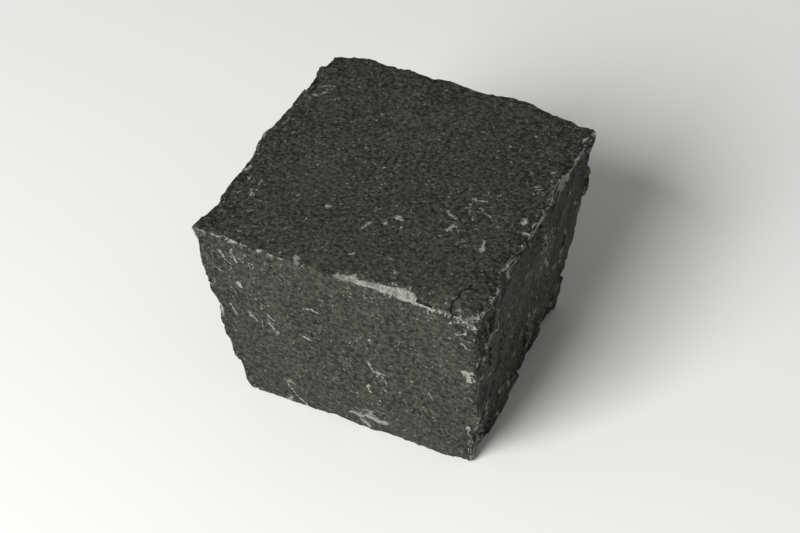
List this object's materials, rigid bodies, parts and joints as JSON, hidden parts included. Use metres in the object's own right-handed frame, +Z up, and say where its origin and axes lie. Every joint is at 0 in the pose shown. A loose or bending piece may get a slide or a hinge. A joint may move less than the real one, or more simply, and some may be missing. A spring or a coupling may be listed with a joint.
{
  "type": "basalt cobblestone",
  "caption": "Split-faced basalt paving sett: a square head, rough sides tapering to a smaller flat foot, and chipped edges.",
  "frame": {"origin": "middle of the outline, at the level of the underside that the stone rests on", "axes": "+Z up through the head, -Y out of the front face, +X out of the right-hand face"},
  "size_m": [0.1012, 0.1058, 0.075],
  "materials": {
    "basalt": "dull, hammer-split, fine-grained dark grey with pale crushed edges"
  },
  "bodies": {
    "root": {"cobblestone": "basalt"}
  },
  "joints": []
}
